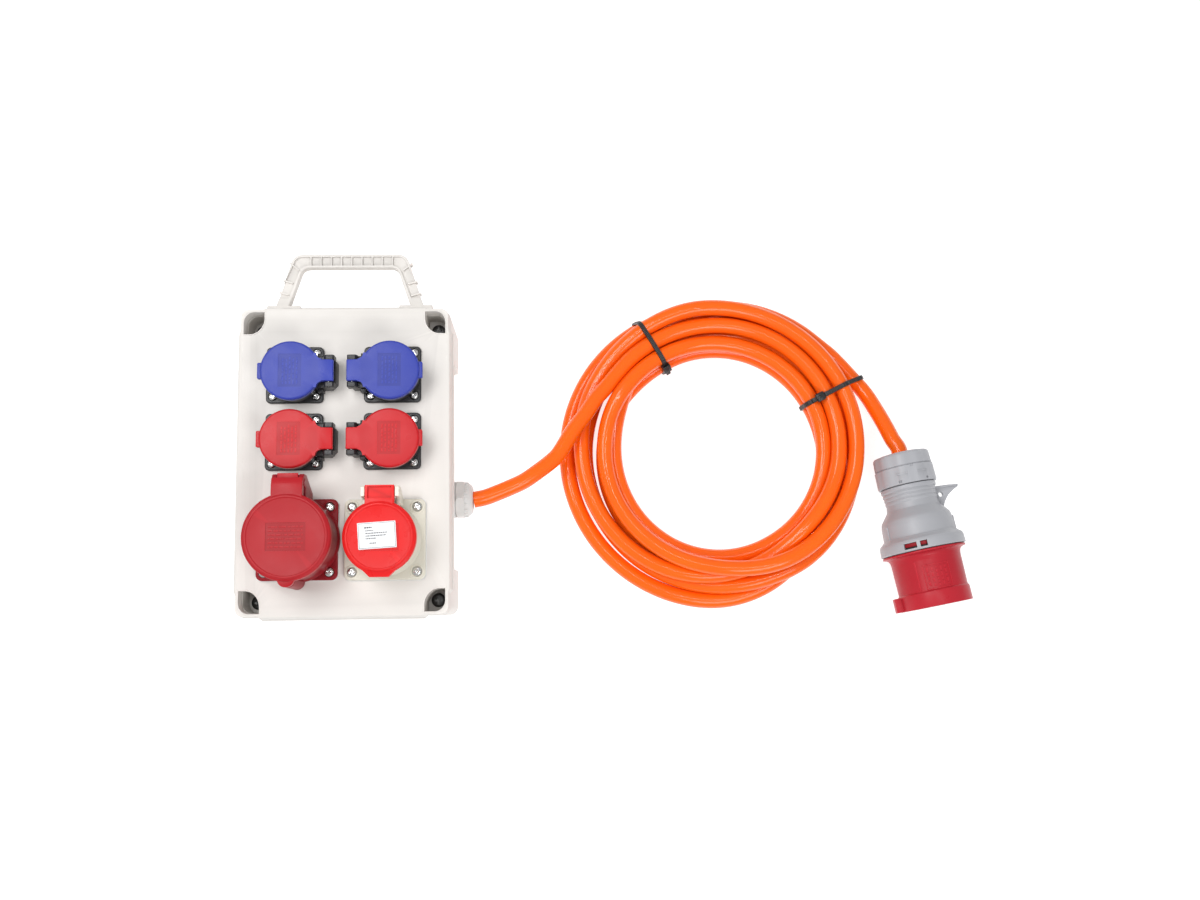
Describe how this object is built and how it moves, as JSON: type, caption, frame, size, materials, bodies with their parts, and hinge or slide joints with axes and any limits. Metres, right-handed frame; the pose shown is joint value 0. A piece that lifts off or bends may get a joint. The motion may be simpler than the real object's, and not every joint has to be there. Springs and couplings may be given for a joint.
{
  "type": "portable power distribution box",
  "caption": "Portable power distribution box: carry enclosure with flap-covered domestic and industrial outlets, a gland, and a coiled heavy supply cable ending in an industrial plug.",
  "frame": {"origin": "centre of the enclosure's flat back, on the surface it lies on", "axes": "+Z out of the lid through the outlets, +Y along the enclosure towards the carry handle, +X across it towards the cable gland"},
  "size_m": [0.6652, 0.3306, 0.157],
  "materials": {
    "enclosure_grey": "fine spark-eroded texture, faintly scuffed",
    "gland_grey": "smooth moulded nylon",
    "seal_rubber": "matt",
    "screw_steel": "zinc plated",
    "outlet_black": "moulded, satin",
    "cover_blue": "satin gloss",
    "cover_red": "satin gloss",
    "hinge_steel": "bright",
    "body_crimson": "satin",
    "cover_crimson": "satin",
    "body_ivory": "satin",
    "cover_signal_red": "satin gloss",
    "insert_black": "matt",
    "rail_steel": "zinc plated",
    "terminal_grey": "matt",
    "wire_jacket": "satin",
    "cord_orange": "smooth polyurethane, glossy",
    "tie_black": "nylon, satin",
    "plug_grey": "moulded, satin",
    "plug_red": "satin",
    "contact_brass": "machined"
  },
  "bodies": {
    "root": {"base_shell": "enclosure_grey", "lid": "enclosure_grey", "carry_handle": "enclosure_grey", "gland_body": "gland_grey", "gland_nut": "gland_grey", "gland_locknut": "gland_grey", "lid_gasket": "seal_rubber", "lid_screw_1": "screw_steel", "lid_screw_2": "screw_steel", "lid_screw_3": "screw_steel", "lid_screw_4": "screw_steel", "schuko_blue_left_body": "outlet_black", "schuko_blue_left_insert": "outlet_black", "schuko_blue_left_hinge_pin": "hinge_steel", "schuko_blue_left_spring": "hinge_steel", "schuko_blue_right_body": "outlet_black", "schuko_blue_right_insert": "outlet_black", "schuko_blue_right_hinge_pin": "hinge_steel", "schuko_blue_right_spring": "hinge_steel", "schuko_red_left_body": "outlet_black", "schuko_red_left_insert": "outlet_black", "schuko_red_left_hinge_pin": "hinge_steel", "schuko_red_left_spring": "hinge_steel", "schuko_red_right_body": "outlet_black", "schuko_red_right_insert": "outlet_black", "schuko_red_right_hinge_pin": "hinge_steel", "schuko_red_right_spring": "hinge_steel", "cee_32a_body": "body_crimson", "cee_16a_body": "body_ivory", "cee_32a_insert": "insert_black", "cee_16a_insert": "insert_black", "cee_32a_hinge_pin": "hinge_steel", "cee_32a_spring": "hinge_steel", "cee_16a_hinge_pin": "hinge_steel", "cee_16a_spring": "hinge_steel", "din_rail": "rail_steel", "terminal_block": "terminal_grey", "wiring_loom": "wire_jacket", "cord_lead": "cord_orange", "cord_coil": "cord_orange", "cord_tail": "cord_orange", "cable_tie_1": "tie_black", "cable_tie_2": "tie_black", "plug_nut": "plug_grey", "plug_housing": "plug_grey", "plug_shroud": "plug_red", "plug_contact_carrier": "insert_black", "plug_pin_1": "contact_brass", "plug_pin_2": "contact_brass", "plug_pin_3": "contact_brass", "plug_pin_4": "contact_brass", "plug_pin_5": "contact_brass"},
    "schuko_blue_left_cover": {"schuko_blue_left_cover": "cover_blue"},
    "schuko_blue_right_cover": {"schuko_blue_right_cover": "cover_blue"},
    "schuko_red_left_cover": {"schuko_red_left_cover": "cover_red"},
    "schuko_red_right_cover": {"schuko_red_right_cover": "cover_red"},
    "cee_32a_cover": {"cee_32a_cover": "cover_crimson", "cee_32a_cover_seal": "seal_rubber"},
    "cee_16a_cover": {"cee_16a_cover": "cover_signal_red", "cee_16a_cover_seal": "seal_rubber"}
  },
  "joints": [
    {"name": "schuko_blue_left_cover_hinge", "type": "hinge", "parent": "root", "child": "schuko_blue_left_cover", "pos_m": [-0.0102, 0.0752, 0.1255], "axis": [0, 1, 0], "range_deg": [0, 90], "stiffness_Nm_per_rad": 0.012, "springref_deg": -20.05},
    {"name": "schuko_blue_right_cover_hinge", "type": "hinge", "parent": "root", "child": "schuko_blue_right_cover", "pos_m": [0.0102, 0.0752, 0.1255], "axis": [0, -1, 0], "range_deg": [0, 90], "stiffness_Nm_per_rad": 0.012, "springref_deg": -20.05},
    {"name": "schuko_red_left_cover_hinge", "type": "hinge", "parent": "root", "child": "schuko_red_left_cover", "pos_m": [-0.0102, 0.016, 0.1255], "axis": [0, 1, 0], "range_deg": [0, 90], "stiffness_Nm_per_rad": 0.012, "springref_deg": -20.05},
    {"name": "schuko_red_right_cover_hinge", "type": "hinge", "parent": "root", "child": "schuko_red_right_cover", "pos_m": [0.0102, 0.016, 0.1255], "axis": [0, -1, 0], "range_deg": [0, 90], "stiffness_Nm_per_rad": 0.012, "springref_deg": -20.05},
    {"name": "cee_32a_cover_hinge", "type": "hinge", "parent": "root", "child": "cee_32a_cover", "pos_m": [-0.0385, -0.0215, 0.1465], "axis": [-1, 0, 0], "range_deg": [0, 90], "stiffness_Nm_per_rad": 0.03, "springref_deg": -20.05},
    {"name": "cee_16a_cover_hinge", "type": "hinge", "parent": "root", "child": "cee_16a_cover", "pos_m": [0.0368, -0.031, 0.1395], "axis": [-1, 0, 0], "range_deg": [0, 105], "stiffness_Nm_per_rad": 0.02, "springref_deg": -20.05}
  ]
}
